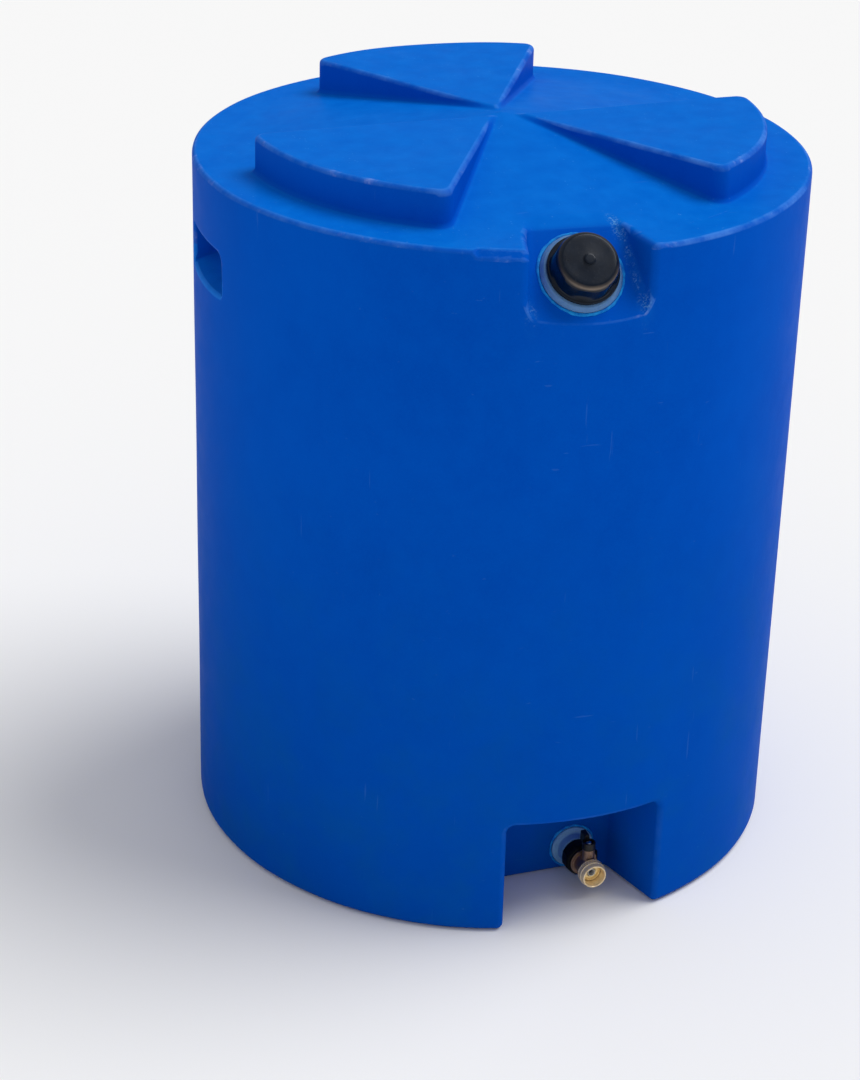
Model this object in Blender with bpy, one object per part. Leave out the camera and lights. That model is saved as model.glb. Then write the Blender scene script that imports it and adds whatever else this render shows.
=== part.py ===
"""Upright rotomoulded water storage tank with a screw-capped filler and a
quarter-turn hose valve in a recess at its foot.

Frame: metres, +Z up, origin at the centre of the base, the front of the tank
(the valve recess) faces -Y.  Azimuths are measured from -Y towards +X.
"""
import bpy
import bmesh
from math import cos, sin, pi, radians, degrees, sqrt, tan, asin, hypot
from mathutils import Matrix, Vector

# ----------------------------------------------------------------- dimensions
R = 0.340              # outer radius of the shell
H = 0.800              # height of the rim
WALL = 0.0055          # wall thickness of the moulding
RIM_R = 0.006          # rounding of the rim
FOOT_R = 0.010         # rounding at the foot
CONE_R = 0.2890        # foot of the shallow cone on the top
CONE_H = 0.0415        # height of the cone's apex above the rim
SEG = 64               # facets round the shell

PAD_AZ = (-60.0, 60.0, 180.0)   # the three stacking pads
PAD_HALF = 30.0        # half angle of a pad
PAD_INSET = 0.0070     # side walls stand in from the radial lines
PAD_R = 0.2873         # outer wall of a pad
PAD_BEVEL = 0.0055     # bevel round a pad's top face
PAD_CORNER = 0.014     # plan radius of a pad's outer corners

POCKET_AZ = -5.1       # filler pocket
POCKET_EL = 44.0       # elevation of the pocket floor's normal
POCKET_EDGE_R = 0.335  # radius and height of the floor's front edge
POCKET_EDGE_Z = 0.7265
POCKET_W0 = 0.0650     # half width at the shell, and at the back
POCKET_W1 = 0.0480
POCKET_BACK = 0.2560

ALC_W0, ALC_E0 = 0.0918, 0.3274   # valve recess: half width at the shell
ALC_W1, ALC_E1 = 0.0655, 0.2280   # and at the back wall
ALC_H = 0.136
ALC_CORNER = 0.015

GRIP_AZ = (-91.0, 89.0)  # hand holds
GRIP_W = 0.0600        # half width
GRIP_TOP, GRIP_BOT = 0.7265, 0.6765
GRIP_BACK = 0.2950
GRIP_RISE = 0.0130     # the lower ledge rises towards the back

# filler, heights above the pocket floor
NECK_S, NECK_T = 0.0486, -0.001   # place of its axis on the floor
NECK_BORE = 0.0255
NECK_R = 0.0300
NECK_TOP = 0.0270
COLLAR_R = 0.0430
SPIGOT_R = 0.0330
THREAD_PITCH = 0.0050
THREAD_TURNS = 1.5
CAP_FLANGE_R = 0.0380
CAP_BASE = 0.0086
CAP_TOP = 0.0356
NUB_R, NUB_H = 0.0057, 0.0030

# outlet line: axis at (OUT_X, OUT_Z), distances w run out from the back wall
OUT_X, OUT_Z = 0.0296, 0.0306
STEM_W = 0.0486        # the stem's axis
BALL_R = 0.0062
STEM_R, STEM_HOLE_R = 0.0030, 0.00308
BOSS_TOP = 0.0250      # above the outlet axis
GAP = 0.0003

# ------------------------------------------------------------------ clearing
for ob in list(bpy.data.objects):
    bpy.data.objects.remove(ob, do_unlink=True)

COLL = bpy.context.scene.collection


def material(name, colour, rough, metal=0.0):
    m = bpy.data.materials.new(name)
    m.use_nodes = True
    b = m.node_tree.nodes["Principled BSDF"]
    b.inputs["Base Color"].default_value = (*colour, 1.0)
    b.inputs["Roughness"].default_value = rough
    b.inputs["Metallic"].default_value = metal
    return m


# ------------------------------------------------------------------- helpers
def polar(az, r, z):
    a = radians(az)
    return Vector((r * sin(a), -r * cos(a), z))


def e_dir(az):
    return polar(az, 1.0, 0.0)


def t_dir(az):
    a = radians(az)
    return Vector((cos(a), sin(a), 0.0))


def frame_from(origin, axis, side):
    """Matrix whose local Z is axis and whose local X is close to side."""
    z = Vector(axis).normalized()
    x = Vector(side) - z * Vector(side).dot(z)
    x.normalize()
    y = z.cross(x)
    m = Matrix((x, y, z)).transposed().to_4x4()
    m.translation = Vector(origin)
    return m


def mesh_object(name, bm, mat=None, world=None, smooth=True):
    bmesh.ops.remove_doubles(bm, verts=bm.verts, dist=1e-7)
    bmesh.ops.recalc_face_normals(bm, faces=bm.faces)
    me = bpy.data.meshes.new(name)
    bm.to_mesh(me)
    bm.free()
    ob = bpy.data.objects.new(name, me)
    COLL.objects.link(ob)
    if world is not None:
        ob.matrix_world = world
    if mat is not None:
        me.materials.append(mat)
    if smooth:
        me.shade_smooth()
        me.set_sharp_from_angle(angle=radians(30))
    return ob


def lathe(name, profile, segs, mat=None, world=None, radius=None):
    """Turned solid.  profile is a closed loop of (r, z); points at r = 0 are
    poles.  radius(r, z, angle), if given, modulates the radius."""
    bm = bmesh.new()
    rings = []
    for r, z in profile:
        if r < 1e-9:
            rings.append([bm.verts.new((0, 0, z))])
        else:
            ring = []
            for i in range(segs):
                a = 2 * pi * i / segs
                q = radius(r, z, a) if radius else r
                ring.append(bm.verts.new((q * cos(a), q * sin(a), z)))
            rings.append(ring)
    n = len(rings)
    for k in range(n):
        a, b = rings[k], rings[(k + 1) % n]
        if len(a) == 1 and len(b) == 1:
            continue
        for i in range(segs):
            j = (i + 1) % segs
            if len(a) == 1:
                bm.faces.new((a[0], b[j], b[i]))
            elif len(b) == 1:
                bm.faces.new((a[i], a[j], b[0]))
            else:
                bm.faces.new((a[i], a[j], b[j], b[i]))
    return mesh_object(name, bm, mat, world)


def prism(name, outline, z0, z1, mat=None, world=None, smooth=False):
    """Upright prism; z0 and z1 are numbers or functions of (x, y)."""
    bm = bmesh.new()
    f0 = z0 if callable(z0) else (lambda x, y: z0)
    f1 = z1 if callable(z1) else (lambda x, y: z1)
    lo = [bm.verts.new((x, y, f0(x, y))) for x, y in outline]
    hi = [bm.verts.new((x, y, f1(x, y))) for x, y in outline]
    n = len(outline)
    for i in range(n):
        j = (i + 1) % n
        bm.faces.new((lo[i], lo[j], hi[j], hi[i]))
    bm.faces.new(hi)
    bm.faces.new(list(reversed(lo)))
    return mesh_object(name, bm, mat, world, smooth)


def boolean(target, other, op):
    """Apply an exact Boolean and drop the tool object."""
    mod = target.modifiers.new(op, "BOOLEAN")
    mod.operation = op
    mod.solver = "EXACT"
    mod.object = other
    bpy.context.view_layer.update()
    dg = bpy.context.evaluated_depsgraph_get()
    me = bpy.data.meshes.new_from_object(target.evaluated_get(dg))
    target.modifiers.clear()
    mats = [s for s in target.data.materials]
    target.data = me
    me.materials.clear()
    for m in mats:
        me.materials.append(m)
    me.polygons.foreach_set("material_index", [0] * len(me.polygons))
    bpy.data.objects.remove(other, do_unlink=True)


def tidy(ob, dist=2e-6, angle=0.01):
    """Merge the slivers that a chain of cuts leaves and flatten co-planar
    faces."""
    bm = bmesh.new()
    bm.from_mesh(ob.data)
    bmesh.ops.remove_doubles(bm, verts=bm.verts, dist=dist)
    bmesh.ops.dissolve_degenerate(bm, edges=bm.edges, dist=dist)
    bmesh.ops.recalc_face_normals(bm, faces=bm.faces)
    bm.to_mesh(ob.data)
    bm.free()
    ob.data.shade_smooth()
    ob.data.set_sharp_from_angle(angle=radians(30))


def rounded(points, radius, steps=3):
    """Polygon with its corners rounded; radius may differ for each corner."""
    out = []
    n = len(points)
    for i in range(n):
        p0, p1, p2 = (Vector(points[i - 1]), Vector(points[i]),
                      Vector(points[(i + 1) % n]))
        r = radius[i] if isinstance(radius, (list, tuple)) else radius
        if r <= 0:
            out.append(tuple(p1))
            continue
        a = (p0 - p1).normalized()
        b = (p2 - p1).normalized()
        half = a.angle(b) / 2
        d = r / tan(half)
        c = p1 + (a + b).normalized() * (r / sin(half))
        s, e = p1 + a * d - c, p1 + b * d - c
        turn = s.angle_signed(e)
        for k in range(steps + 1):
            th = turn * k / steps
            v = Vector((s.x * cos(th) + s.y * sin(th), -s.x * sin(th) + s.y * cos(th)))
            out.append(tuple(c + v))
    return out


# -------------------------------------------------------------- shell pieces
def shell_profile(off):
    """Half outline of the shell, drawn in by off."""
    r, h, z0 = R - off, H - off, off
    foot, rim = FOOT_R - off * 0.5, max(RIM_R - off, 0.0015)
    pts = [(0.0, z0), (r * 0.5, z0)]
    for k in range(4):
        a = pi / 2 * k / 3
        pts.append((r - foot + foot * sin(a), z0 + foot - foot * cos(a)))
    for k in range(3):
        a = pi / 2 * k / 2
        pts.append((r - rim + rim * cos(a), h - rim + rim * sin(a)))
    slope = CONE_H / CONE_R
    pts.append((CONE_R - off * slope * 0.5, h))
    pts.append((0.0, H + CONE_H - off * sqrt(1 + slope * slope)))
    return pts


def pad_outline(off):
    """Plan of a pad about azimuth 0 in (t, e): a sector whose sides stand in
    from the radial lines by PAD_INSET + off."""
    inset = PAD_INSET + off
    ro = PAD_R - off
    a = radians(PAD_HALF)
    tip = inset / sin(a)
    cr = max(PAD_CORNER - off, 0.004)
    # outer corner: circle of radius cr tangent to the side and to the arc
    # side line through (0, tip) with direction (sin a, cos a)
    rc = ro - cr
    dist = inset + cr            # distance of the centre from the radial line
    along = sqrt(rc * rc - dist * dist)
    cx = along * sin(a) - dist * cos(a)
    cy = along * cos(a) + dist * sin(a)
    right = []
    foot = (cx + cr * cos(a), cy - cr * sin(a))
    right.append(foot)
    # the corner turns from the side's outward normal to the arc's normal
    n0 = pi / 2 + a              # azimuth of the side's outward normal
    n1 = asin(cx / rc)
    for k in range(1, 4):
        n = n0 + (n1 - n0) * k / 3
        right.append((cx + cr * sin(n), cy + cr * cos(n)))
    arc = []
    m = 8
    for k in range(1, m):
        q = n1 - 2 * n1 * k / m
        arc.append((ro * sin(q), ro * cos(q)))
    left = [(-x, y) for x, y in reversed(right)]
    return [(0.0, tip)] + right + arc + left


def pad(name, az, off, bevel):
    base = pad_outline(off)
    top = pad_outline(off + bevel)
    z1 = H + CONE_H - off
    z0 = H - 0.030
    e, t = e_dir(az), t_dir(az)
    bm = bmesh.new()

    def ring(pts, z):
        return [bm.verts.new(t * x + e * y + Vector((0, 0, z))) for x, y in pts]

    rings = [ring(base, z0), ring(base, z1 - bevel), ring(top, z1)]
    n = len(base)
    for a, b in zip(rings, rings[1:]):
        for i in range(n):
            j = (i + 1) % n
            bm.faces.new((a[i], a[j], b[j], b[i]))
    bm.faces.new(rings[-1])
    bm.faces.new(list(reversed(rings[0])))
    return mesh_object(name, bm)


def wedge(name, az, plan, z0, z1):
    """Prism over a plan given in (t, e) about an azimuth; z0 and z1 are
    numbers or functions of (t, e)."""
    e, t = e_dir(az), t_dir(az)
    ob = prism(name, plan, z0, z1)
    for v in ob.data.vertices:
        x, y, z = v.co
        v.co = t * x + e * y + Vector((0, 0, z))
    bm = bmesh.new()
    bm.from_mesh(ob.data)
    bmesh.ops.recalc_face_normals(bm, faces=bm.faces)
    bm.to_mesh(ob.data)
    bm.free()
    return ob


CE, SE = cos(radians(POCKET_EL)), sin(radians(POCKET_EL))


def pocket(off):
    k = (POCKET_W0 - POCKET_W1) / (POCKET_EDGE_R - POCKET_BACK)
    grow = off * sqrt(1 + k * k)

    def half(e):
        return POCKET_W1 + (e - POCKET_BACK) * k + grow

    e0, e1 = POCKET_BACK - 0.030, R + 0.06
    plan = [(-half(e0), e0), (half(e0), e0), (half(e1), e1), (-half(e1), e1)]

    def floor(t, e):
        return POCKET_EDGE_Z - (e - POCKET_EDGE_R) * CE / SE - off / SE

    return wedge("pocket", POCKET_AZ, plan, floor, H + 0.06)


def alcove(off):
    k = (ALC_W0 - ALC_W1) / (ALC_E0 - ALC_E1)
    grow = off * sqrt(1 + k * k)

    def half(e):
        return ALC_W1 + (e - ALC_E1) * k + grow

    e0, e1 = ALC_E1 - off, R + 0.06
    plan = rounded([(-half(e0), e0), (half(e0), e0), (half(e1), e1), (-half(e1), e1)],
                   [ALC_CORNER + off, ALC_CORNER + off, 0, 0])
    return wedge("alcove", 0.0, plan, -0.03, ALC_H + off)


def grip(az, off):
    w = GRIP_W + off
    e0, e1 = GRIP_BACK - off, R + 0.05

    def ledge(t, e):
        return GRIP_BOT + GRIP_RISE * (R - e) / (R - GRIP_BACK) - off * 1.04

    return wedge("grip", az, [(-w, e0), (w, e0), (w, e1), (-w, e1)], ledge,
                 GRIP_TOP + off)


def shell_solid(off):
    """The shell as a solid, drawn in by off; its recesses grow by off."""
    ob = lathe("shell", shell_profile(off), SEG)
    for az in PAD_AZ:
        boolean(ob, pad("pad", az, off, PAD_BEVEL if off == 0 else 0.002), "UNION")
    boolean(ob, pocket(off), "DIFFERENCE")
    boolean(ob, alcove(off), "DIFFERENCE")
    for az in GRIP_AZ:
        boolean(ob, grip(az, off), "DIFFERENCE")
    return ob


# -------------------------------------------------------------- the two axes
# filler axis, normal to the pocket floor
P_E, P_T = e_dir(POCKET_AZ), t_dir(POCKET_AZ)
P_N = P_E * CE + Vector((0, 0, SE))
P_S = P_E * -SE + Vector((0, 0, CE))
P_EDGE = P_E * POCKET_EDGE_R + Vector((0, 0, POCKET_EDGE_Z))
FILL_O = P_EDGE + P_S * NECK_S + P_T * NECK_T
FILL = frame_from(FILL_O, P_N, P_T)

# outlet axis, straight out of the recess; local +Z is -Y
OUT_O = Vector((OUT_X, -ALC_E1, OUT_Z))
OUTLET = frame_from(OUT_O, (0, -1, 0), (1, 0, 0))
STEM_O = Vector((OUT_X, -ALC_E1 - STEM_W, OUT_Z))
STEM = Matrix.Translation(STEM_O)


def mm(pairs):
    return [(r / 1000.0, z / 1000.0) for r, z in pairs]


def rod(name, r, z0, z1, segs, world):
    return lathe(name, [(0, z0), (r, z0), (r, z1), (0, z1)], segs, None, world)


def screw_ridge(name, r_in, r_out, z0, turns, base, crest, segs, world,
                inward=False):
    """Right-hand helical ridge of trapezoid section with pinched ends.  Its
    base is at r_in, or at r_out if inward."""
    bm = bmesh.new()
    rings = []
    n = int(round(segs * turns))
    for i in range(n + 1):
        a = 2 * pi * i / segs
        z = z0 + THREAD_PITCH * i / segs
        f = min(1.0, min(i, n - i) / 4.0)
        b2, c2 = base / 2 * (0.35 + 0.65 * f), crest / 2 * (0.35 + 0.65 * f)
        if inward:
            rb, rc = r_out, r_out + (r_in - r_out) * (0.3 + 0.7 * f)
        else:
            rb, rc = r_in, r_in + (r_out - r_in) * (0.3 + 0.7 * f)
        ring = [bm.verts.new((r * cos(a), r * sin(a), z + d))
                for r, d in ((rb, -b2), (rc, -c2), (rc, c2), (rb, b2))]
        rings.append(ring)
    for p, q in zip(rings, rings[1:]):
        for i in range(4):
            j = (i + 1) % 4
            bm.faces.new((p[i], p[j], q[j], q[i]))
    bm.faces.new(rings[0])
    bm.faces.new(list(reversed(rings[-1])))
    return mesh_object(name, bm, None, world)


# ---------------------------------------------------------------- materials
BLUE = material("blue_polyethylene", (0.006, 0.085, 0.46), 0.42)
NATURAL = material("natural_polyethylene", (0.74, 0.78, 0.80), 0.45)
BLACK = material("black_plastic", (0.012, 0.012, 0.013), 0.25)
BLACK2 = material("black_adapter", (0.015, 0.014, 0.014), 0.50)
BLACK3 = material("handle_black", (0.018, 0.018, 0.019), 0.45)
RUBBER = material("black_rubber", (0.02, 0.02, 0.02), 0.80)
BRONZE = material("bronze_body", (0.28, 0.19, 0.13), 0.42, 0.9)
PTFE = material("ptfe", (0.82, 0.82, 0.80), 0.40)
CHROMED = material("plated_ball", (0.75, 0.75, 0.74), 0.15, 1.0)
STEMBR = material("stem_brass", (0.66, 0.50, 0.24), 0.35, 1.0)
PALE = material("pale_brass", (0.80, 0.66, 0.38), 0.30, 1.0)
PALE2 = material("tailpiece_brass", (0.74, 0.58, 0.30), 0.30, 1.0)
GREY = material("grey_liner", (0.45, 0.47, 0.50), 0.45)
ZINC = material("zinc_screw", (0.60, 0.60, 0.58), 0.35, 1.0)

# ---------------------------------------------------------------- tank body
tank = shell_solid(0.0)
tank.name = "tank_body"
tank.data.materials.append(BLUE)
cavity = shell_solid(WALL)
boolean(tank, cavity, "DIFFERENCE")
boolean(tank, rod("hole", SPIGOT_R + GAP, -0.020, 0.010, 48, FILL), "DIFFERENCE")
boolean(tank, rod("hole", 0.0163, -0.020, 0.010, 32, OUTLET), "DIFFERENCE")
tidy(tank)
tank.data.name = "tank_body"

# ---------------------------------------------------------------- filler neck
neck = lathe("fill_neck", mm([
    (25.5, -12.0), (33.0, -12.0), (33.0, 0.3), (43.0, 0.3), (43.0, 2.6),
    (40.2, 7.9), (30.0, 8.0), (30.0, 26.4), (29.4, 27.0), (25.5, 27.0)]),
    40, NATURAL, FILL)
boolean(neck, screw_ridge("ridge", 0.0298, 0.0313, 0.0140, THREAD_TURNS,
                          0.0022, 0.0012, 40, FILL), "UNION")
tidy(neck)

gasket = lathe("fill_cap_gasket", mm([
    (22.0, 27.3), (29.6, 27.3), (29.6, 29.5), (22.0, 29.5)]), 40, RUBBER, FILL)

cap = lathe("fill_cap", mm([
    (0.0, 29.8), (30.1, 29.8), (30.4, 26.8), (32.1, 25.4), (32.3, 9.4),
    (33.2, 8.6), (37.6, 8.6), (38.0, 9.1), (38.0, 11.8), (37.4, 12.6),
    (35.4, 13.0), (34.9, 14.0), (32.6, 31.2), (31.6, 33.7), (29.2, 35.2),
    (27.6, 35.6), (6.2, 35.6), (5.7, 36.1), (5.7, 38.1), (5.2, 38.6),
    (0.0, 38.6)]), 40, BLACK, FILL)
boolean(cap, screw_ridge("ridge", 0.0306, 0.0324, 0.0115, THREAD_TURNS,
                         0.0022, 0.0012, 40, FILL, inward=True), "UNION")
tidy(cap)

# ---------------------------------------------------------------- outlet line
lathe("outlet_fitting", mm([
    (9.5, -13.5), (16.0, -13.5), (16.0, 0.3), (25.0, 0.3), (25.0, 3.2),
    (24.0, 4.2), (18.6, 4.6), (18.6, 15.4), (18.0, 16.0), (12.6, 16.0),
    (12.6, 0.5), (9.5, -1.5)]), 32, NATURAL, OUTLET)
lathe("outlet_gasket", mm([
    (13.2, 16.3), (17.4, 16.3), (17.4, 18.1), (13.2, 18.1)]), 32, RUBBER, OUTLET)


def lobes(r, z, a):
    """The adapter's grip has eight flats between small ridges."""
    if r < 0.0185:
        return r
    q = (a / (2 * pi) * 8 + 0.5) % 1.0
    return r * (1.0 - 0.035 * (1.0 - abs(2 * q - 1.0) ** 2))


lathe("outlet_adapter", mm([
    (8.5, 2.4), (12.2, 2.4), (12.2, 18.4), (19.4, 18.4), (20.4, 19.4),
    (20.4, 32.4), (18.8, 35.4), (13.4, 35.4), (13.4, 24.4), (8.5, 24.4)]),
    32, BLACK2, OUTLET, lobes)
lathe("adapter_washer", mm([
    (8.8, 24.7), (13.0, 24.7), (13.0, 26.9), (8.8, 26.9)]), 32, RUBBER, OUTLET)

# ---------------------------------------------------------------- valve body
BC = STEM_W * 1000
body = lathe("valve_body", mm([
    (8.0, 27.2), (13.0, 27.2), (13.0, 35.7), (15.6, 35.7), (16.0, 36.1),
    (16.0, 37.8), (15.6, 38.2), (12.3, 38.4), (12.3, 54.8), (11.6, 56.2),
    (8.8, 56.2), (8.8, 44.0), (7.2, 44.0), (7.2, 42.7), (4.4, 42.7),
    (4.4, 39.0), (8.0, 38.0)]), 32, BRONZE, OUTLET)
boolean(body, lathe("boss", [(0, 0.0095), (0.0072, 0.0095), (0.0072, 0.0244),
                             (0.0066, BOSS_TOP), (0, BOSS_TOP)], 32, None, STEM),
        "UNION")
boolean(body, lathe("bore", [(0, 0.0040), (STEM_HOLE_R, 0.0040), (STEM_HOLE_R, 0.0200),
                             (0.0047, 0.0200), (0.0047, 0.0300), (0, 0.0300)],
                    32, None, STEM), "DIFFERENCE")
tidy(body)

S0 = BC - 5.6


def seat_profile(sign):
    """Seat ring hugging the ball with a small clearance."""
    pts = [(4.4, 5.6), (6.9, 5.6), (6.9, 2.9), (5.9, 2.9)]
    for rho in (5.3, 4.4):
        pts.append((rho, sqrt(6.5 ** 2 - rho ** 2)))
    return mm([(r, BC + sign * d) for r, d in pts])


lathe("valve_seat_inner", seat_profile(-1), 24, PTFE, OUTLET)
lathe("valve_seat_outer", seat_profile(1), 24, PTFE, OUTLET)

# ball: a sphere with its waterway and the slot that takes the stem's tang
bm = bmesh.new()
bmesh.ops.create_uvsphere(bm, u_segments=20, v_segments=12, radius=BALL_R)
ball = mesh_object("valve_ball", bm, CHROMED, STEM)
boolean(ball, rod("way", 0.0042, -0.010, 0.010, 24,
                  frame_from(STEM_O, (0, -1, 0), (1, 0, 0))), "DIFFERENCE")
boolean(ball, prism("slot", [(-0.0013, -0.008), (0.0013, -0.008), (0.0013, 0.008),
                             (-0.0013, 0.008)], 0.0046, 0.009, None, STEM),
        "DIFFERENCE")
tidy(ball)

stem = lathe("valve_stem", mm([
    (0, 7.15), (3.6, 7.15), (3.6, 7.75), (3.0, 7.75), (3.0, 24.6), (0, 24.6)]),
    32, STEMBR, STEM)
boolean(stem, prism("tang", [(-0.0010, -0.0025), (0.0010, -0.0025),
                             (0.0010, 0.0025), (-0.0010, 0.0025)],
                    0.0050, 0.0074, None, STEM), "UNION")
boolean(stem, prism("square", [(-0.0019, -0.0019), (0.0019, -0.0019),
                               (0.0019, 0.0019), (-0.0019, 0.0019)],
                    0.0240, 0.0309, None, STEM), "UNION")
boolean(stem, rod("tapping", 0.0012, 0.0225, 0.0350, 16, STEM), "DIFFERENCE")
tidy(stem)

bm = bmesh.new()
seg_a, seg_b = 24, 6
rr = []
for i in range(seg_a):
    a = 2 * pi * i / seg_a
    rr.append([bm.verts.new(((0.0039 + 0.00055 * cos(b)) * cos(a),
                             (0.0039 + 0.00055 * cos(b)) * sin(a),
                             0.0208 + 0.00055 * sin(b)))
               for b in (2 * pi * k / seg_b for k in range(seg_b))])
for i in range(seg_a):
    for k in range(seg_b):
        i2, k2 = (i + 1) % seg_a, (k + 1) % seg_b
        bm.faces.new((rr[i][k], rr[i2][k], rr[i2][k2], rr[i][k2]))
mesh_object("stem_o_ring", bm, RUBBER, STEM)

# handle: round skirt with a fin that runs back over the pipe
handle = lathe("valve_handle", mm([
    (0, 25.3), (7.75, 25.3), (7.75, 33.8), (7.2, 34.3), (5.6, 34.3), (5.6, 31.2),
    (0, 31.2)]), 32, BLACK3, STEM)
bm = bmesh.new()
side = [(5.4, 26.3), (18.6, 27.2), (19.0, 38.6), (17.6, 39.6), (9.0, 39.4),
        (6.0, 37.2), (6.0, 34.0), (5.4, 33.0)]
fl = [bm.verts.new((-0.0030, y / 1000, z / 1000)) for y, z in side]
fr = [bm.verts.new((0.0030, y / 1000, z / 1000)) for y, z in side]
for i in range(len(side)):
    j = (i + 1) % len(side)
    bm.faces.new((fl[i], fl[j], fr[j], fr[i]))
bm.faces.new(fr)
bm.faces.new(list(reversed(fl)))
boolean(handle, mesh_object("fin", bm, None, STEM, smooth=False), "UNION")
boolean(handle, prism("socket", [(-0.0022, -0.0022), (0.0022, -0.0022),
                                 (0.0022, 0.0022), (-0.0022, 0.0022)],
                      0.0240, 0.0330, None, STEM), "DIFFERENCE")
tidy(handle)
screw = lathe("handle_screw", mm([
    (0, 24.0), (0.9, 24.0), (0.9, 31.5), (3.4, 31.5), (3.4, 32.8), (2.4, 33.6),
    (0, 33.6)]), 20, ZINC, STEM)
boolean(screw, prism("slot", [(-0.0004, -0.004), (0.0004, -0.004), (0.0004, 0.004),
                              (-0.0004, 0.004)], 0.0330, 0.0345, None, STEM),
        "DIFFERENCE")
tidy(screw)

# ---------------------------------------------------------------- coupling
lathe("valve_tailpiece", mm([
    (5.1, 54.6), (7.2, 54.6), (7.2, 53.3), (8.5, 53.3), (8.5, 56.5), (9.0, 56.6),
    (9.0, 58.3), (11.0, 58.3), (11.0, 60.1), (5.1, 60.1)]), 24, PALE2, OUTLET)
lathe("bore_liner", mm([
    (3.5, 54.6), (4.7, 54.6), (4.7, 60.8), (4.2, 61.1), (3.5, 61.1)]), 24, GREY,
    OUTLET)
lathe("swivel_nut", mm([
    (9.4, 56.7), (14.6, 56.7), (15.5, 57.7), (15.5, 64.6), (14.6, 65.6),
    (14.0, 70.0), (13.4, 70.7), (12.6, 70.7), (11.9, 69.8), (11.6, 60.8),
    (11.6, 57.9), (9.4, 57.9)]), 32, PALE, OUTLET)
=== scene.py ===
from math import sin, cos, pi, radians, sqrt, tan, atan2
import bpy
import bmesh
import numpy as np
from mathutils import Vector, Matrix


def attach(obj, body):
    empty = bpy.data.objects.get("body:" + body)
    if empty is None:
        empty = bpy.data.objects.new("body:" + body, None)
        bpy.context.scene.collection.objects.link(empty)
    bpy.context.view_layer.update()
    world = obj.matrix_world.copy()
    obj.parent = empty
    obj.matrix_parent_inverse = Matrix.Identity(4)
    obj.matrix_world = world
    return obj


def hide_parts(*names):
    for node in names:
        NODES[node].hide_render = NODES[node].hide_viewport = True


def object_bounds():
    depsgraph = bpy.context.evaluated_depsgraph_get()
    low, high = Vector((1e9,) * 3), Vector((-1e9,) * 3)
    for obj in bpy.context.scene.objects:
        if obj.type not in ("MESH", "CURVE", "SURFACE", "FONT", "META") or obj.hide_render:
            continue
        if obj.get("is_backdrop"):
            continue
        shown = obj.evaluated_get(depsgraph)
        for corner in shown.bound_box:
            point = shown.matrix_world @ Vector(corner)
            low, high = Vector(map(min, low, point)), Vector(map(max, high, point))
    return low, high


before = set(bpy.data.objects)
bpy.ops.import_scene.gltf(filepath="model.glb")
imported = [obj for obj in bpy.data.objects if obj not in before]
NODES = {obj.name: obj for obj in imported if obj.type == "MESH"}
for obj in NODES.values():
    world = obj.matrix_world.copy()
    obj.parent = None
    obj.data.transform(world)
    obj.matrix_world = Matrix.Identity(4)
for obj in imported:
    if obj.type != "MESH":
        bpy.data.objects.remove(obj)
CAD_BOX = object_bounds()
SC = bpy.context.scene
COLL = SC.collection

# ------------------------------------------------------------ dimensions (m)
R, H = 0.340, 0.800
RIM_R, FOOT_R = 0.0055, 0.0095
CONE_R, CONE_TOP = 0.2875, 0.0405
PAD_TOP = H + 0.0415
PAD_AZ = (-60.0, 60.0, 180.0)
PAD_R, PAD_INSET = 0.2873, 0.0070
POCKET_AZ, POCKET_EL = -5.1, 44.0
POCKET_EDGE_R, POCKET_EDGE_Z = 0.335, 0.7265
POCKET_W0, POCKET_W1, POCKET_BACK = 0.0650, 0.0480, 0.2560
ALC_W0, ALC_E0, ALC_W1, ALC_E1, ALC_H = 0.0918, 0.3274, 0.0655, 0.2280, 0.136
GRIP_AZ = (-91.0, 89.0)
GRIP_W, GRIP_TOP, GRIP_BOT, GRIP_BACK, GRIP_RISE = 0.0600, 0.7265, 0.6765, 0.2950, 0.0130
NECK_S, NECK_T = 0.0486, -0.001
OUT_X, OUT_Z, STEM_W = 0.0296, 0.0306, 0.0486
PITCH = 0.0050


def e_dir(az):
    a = radians(az)
    return Vector((sin(a), -cos(a), 0.0))


def t_dir(az):
    a = radians(az)
    return Vector((cos(a), sin(a), 0.0))


def frame_from(origin, axis, side):
    z = Vector(axis).normalized()
    x = Vector(side) - z * Vector(side).dot(z)
    x.normalize()
    y = z.cross(x)
    m = Matrix((x, y, z)).transposed().to_4x4()
    m.translation = Vector(origin)
    return m


CE, SE = cos(radians(POCKET_EL)), sin(radians(POCKET_EL))
P_E, P_T = e_dir(POCKET_AZ), t_dir(POCKET_AZ)
P_N = P_E * CE + Vector((0, 0, SE))
P_S = P_E * -SE + Vector((0, 0, CE))
P_EDGE = P_E * POCKET_EDGE_R + Vector((0, 0, POCKET_EDGE_Z))
FILL_O = P_EDGE + P_S * NECK_S + P_T * NECK_T
FILL = frame_from(FILL_O, P_N, P_T)
OUT_O = Vector((OUT_X, -ALC_E1, OUT_Z))
OUTLET = frame_from(OUT_O, (0, -1, 0), (1, 0, 0))
STEM_O = Vector((OUT_X, -ALC_E1 - STEM_W, OUT_Z))
STEM = Matrix.Translation(STEM_O)

# ---------------------------------------------------------------- the camera
YAW, PITCH_DN, ROLL = radians(-1.38), radians(25.89), radians(1.59)
CAM_D, CAM_H, TURN = 8.176 * 0.34, 4.904 * 0.34, radians(-21.5)


def turn(v):
    c, s = cos(TURN), sin(TURN)
    return Vector((v.x * c - v.y * s, v.x * s + v.y * c, v.z))


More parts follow.
